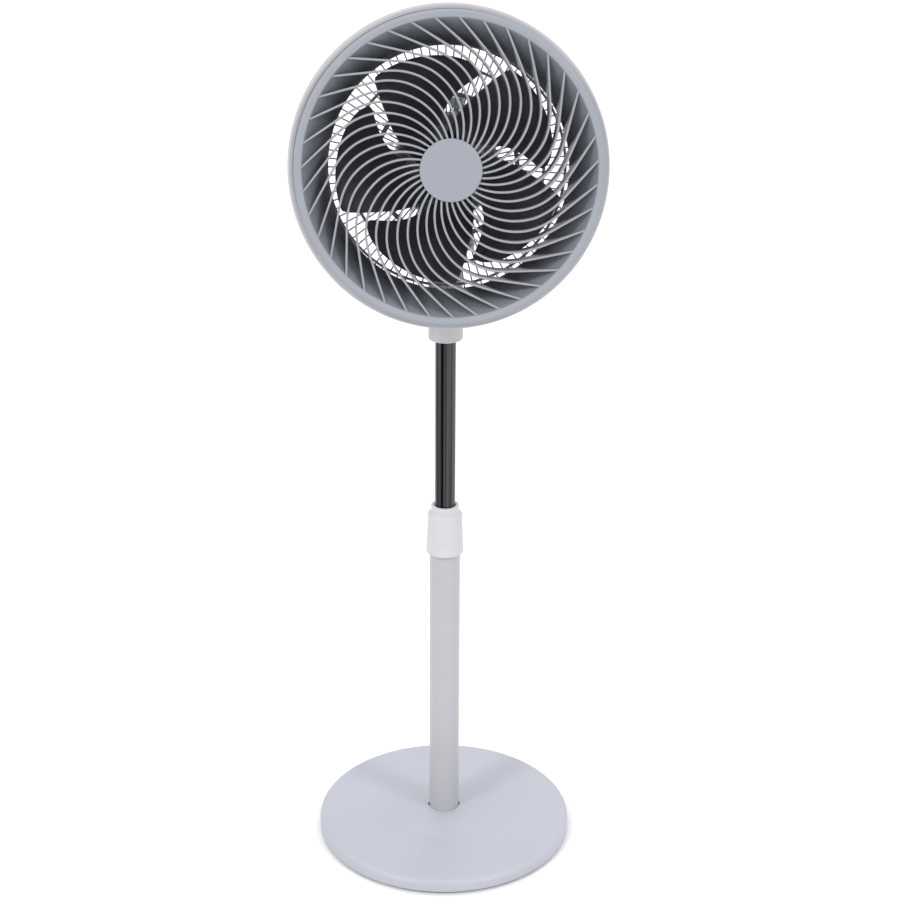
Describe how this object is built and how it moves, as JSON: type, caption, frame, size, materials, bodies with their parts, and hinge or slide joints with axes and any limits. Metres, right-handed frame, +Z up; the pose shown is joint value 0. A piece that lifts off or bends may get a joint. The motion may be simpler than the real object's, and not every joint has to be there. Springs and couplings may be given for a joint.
{
  "type": "pedestal air circulator fan",
  "caption": "Pedestal air circulator: round weighted base, telescoping mast, tilting and oscillating deep-guard fan head with spiral front grille.",
  "frame": {"origin": "centre of the round base on the floor, on the mast axis", "axes": "+Z up along the mast; the head faces -Y at rest"},
  "size_m": [0.3578, 0.3248, 1.0664],
  "materials": {
    "base_plastic": "fine satin",
    "neck_plastic": "fine satin",
    "collar_plastic": "satin",
    "tube_paint": "satin powder coat",
    "tube_chrome": "polished dark chrome",
    "rim_plastic": "fine satin",
    "grille_plastic": "fine satin",
    "guard_plastic": "fine satin",
    "blade_plastic": "satin gloss",
    "motor_plastic": "fine satin",
    "inner_plastic": "matte",
    "steel": "zinc plated",
    "iron": "as cast",
    "laminations": "bare laminations",
    "copper": "enamelled winding wire",
    "bronze": "sintered bronze",
    "die_cast": "die cast",
    "rubber": "matte"
  },
  "bodies": {
    "stand": {"base_cover": "base_plastic", "base_weight": "iron", "base_plate": "steel", "tube_flange": "steel", "base_screws": "steel", "rubber_feet": "rubber", "outer_tube": "tube_paint", "collar_bush": "inner_plastic"},
    "collar": {"height_collar": "collar_plastic"},
    "mast": {"inner_tube": "tube_chrome", "tube_glide": "inner_plastic", "neck_housing": "neck_plastic", "neck_screw": "steel", "tilt_bolt": "steel"},
    "tilt_knob": {"tilt_knob": "neck_plastic"},
    "swivel": {"swivel_bracket": "die_cast", "oscillation_pin": "steel", "thrust_washer": "bronze", "crank_link": "steel", "link_rivet": "steel"},
    "head": {"motor_cover_front": "motor_plastic", "motor_cover_rear": "motor_plastic", "stator_core": "laminations", "stator_winding": "copper", "front_bracket": "die_cast", "rear_bracket": "die_cast", "shaft_bushes": "bronze", "motor_screws": "steel", "gearbox_case": "die_cast", "capacitor": "inner_plastic", "speed_switch": "inner_plastic", "cord_grommet": "rubber", "rear_grille": "guard_plastic", "grille_nut": "motor_plastic", "rim_shell": "rim_plastic", "bell_ring": "grille_plastic", "front_grille": "grille_plastic", "grille_cap": "grille_plastic"},
    "rotor": {"motor_shaft": "steel", "rotor_core": "laminations", "shaft_worm": "steel", "fan_blade": "blade_plastic", "blade_nut": "inner_plastic"},
    "worm_gear": {"worm_gear": "inner_plastic"},
    "crank": {"crank_gear": "inner_plastic", "crank_disc": "steel"},
    "speed_knob": {"speed_knob": "neck_plastic"},
    "oscillation_knob": {"oscillation_knob": "neck_plastic"}
  },
  "joints": [
    {"name": "height", "type": "slide", "parent": "stand", "child": "mast", "axis": [0, 0, 1], "range_m": [-0.2, 0]},
    {"name": "collar_turn", "type": "hinge", "parent": "stand", "child": "collar", "pos_m": [0, 0, 0.42], "axis": [0, 0, 1], "range_deg": [0, 180]},
    {"name": "tilt", "type": "hinge", "parent": "mast", "child": "swivel", "pos_m": [0, 0.03882, 0.77894], "axis": [1, 0, 0], "range_deg": [-20, 15]},
    {"name": "tilt_knob_turn", "type": "hinge", "parent": "mast", "child": "tilt_knob", "pos_m": [0, 0.03882, 0.77894], "axis": [1, 0, 0], "range_deg": [0, 180]},
    {"name": "oscillation", "type": "hinge", "parent": "swivel", "child": "head", "pos_m": [0, 0.04449, 0.81043], "axis": [0, 0.1771, 0.9842], "range_deg": [-40, 40]},
    {"name": "fan_spin", "type": "hinge", "parent": "head", "child": "rotor", "pos_m": [0, 0, 0.8794], "axis": [0, -0.9842, 0.1771], "continuous": true},
    {"name": "worm_gear_turn", "type": "hinge", "parent": "head", "child": "worm_gear", "pos_m": [0.0159, 0.05708, 0.86913], "axis": [0, 0.1771, 0.9842], "continuous": true},
    {"name": "crank_turn", "type": "hinge", "parent": "head", "child": "crank", "pos_m": [0.032, 0.05783, 0.85071], "axis": [0, 0.1771, 0.9842], "continuous": true},
    {"name": "speed_knob_turn", "type": "hinge", "parent": "head", "child": "speed_knob", "pos_m": [0, 0.08858, 0.86346], "axis": [0, 0.9842, -0.1771], "range_deg": [0, 135]},
    {"name": "oscillation_knob_pull", "type": "slide", "parent": "head", "child": "oscillation_knob", "axis": [0, 0.1771, 0.9842], "range_m": [0, 0.008]}
  ],
  "couplings": [
    {"joint": "worm_gear_turn", "follows": "fan_spin", "ratio": 0.041667},
    {"joint": "crank_turn", "follows": "fan_spin", "ratio": -0.010417}
  ]
}
